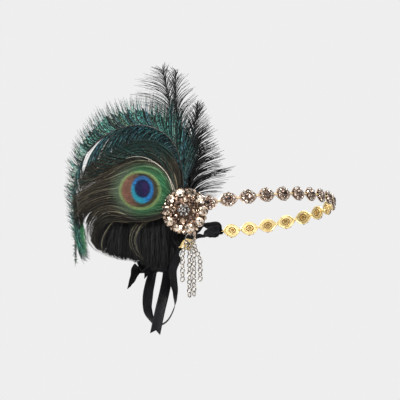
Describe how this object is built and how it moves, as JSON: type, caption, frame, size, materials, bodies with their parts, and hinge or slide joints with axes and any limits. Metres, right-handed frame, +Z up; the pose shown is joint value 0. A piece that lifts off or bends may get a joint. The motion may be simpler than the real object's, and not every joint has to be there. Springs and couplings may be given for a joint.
{
  "type": "flapper feather headband",
  "caption": "Rhinestone chain headband with a round jewelled brooch, chain tassel, peacock and black feathers, and a black satin ribbon bow.",
  "frame": {"origin": "middle of the head loop, where the head sits", "axes": "+Z up as worn, +X towards the forehead end of the band, the brooch and feathers on the -Y side"},
  "size_m": [0.2631, 0.195, 0.2578],
  "materials": {
    "gold_plate": "polished yellow gold plate",
    "rose_gold": "antique rose gold setting with champagne crystals",
    "tassel_silver": "brownish silver cable chain",
    "peacock_eye": "iridescent green and bronze barbs with a blue eye",
    "teal_herl": "iridescent teal herl",
    "black_plume": "soft black barbs",
    "black_satin": "black satin ribbon"
  },
  "bodies": {
    "root": {"band_link_00": "gold_plate", "band_link_01": "gold_plate", "band_link_02": "gold_plate", "band_link_03": "gold_plate", "band_link_04": "gold_plate", "band_link_05": "gold_plate", "band_link_06": "gold_plate", "band_link_07": "gold_plate", "band_link_08": "gold_plate", "band_link_09": "gold_plate", "band_link_10": "gold_plate", "band_link_11": "gold_plate", "band_link_12": "gold_plate", "band_link_13": "gold_plate", "band_link_14": "gold_plate", "band_link_15": "gold_plate", "band_link_16": "gold_plate", "band_link_17": "gold_plate", "end_link": "gold_plate", "brooch": "rose_gold", "tassel_ring": "tassel_silver", "tassel_chain_1": "tassel_silver", "tassel_chain_2": "tassel_silver", "tassel_chain_3": "tassel_silver", "tassel_chain_4": "tassel_silver", "eye_feather": "peacock_eye", "teal_feather": "teal_herl", "tall_plume": "black_plume", "side_plume": "black_plume", "feather_pad": "black_plume", "bow_knot": "black_satin", "near_ribbon": "black_satin", "far_ribbon": "black_satin", "main_tail": "black_satin", "pointed_tail": "black_satin", "notched_tail": "black_satin"}
  },
  "joints": []
}
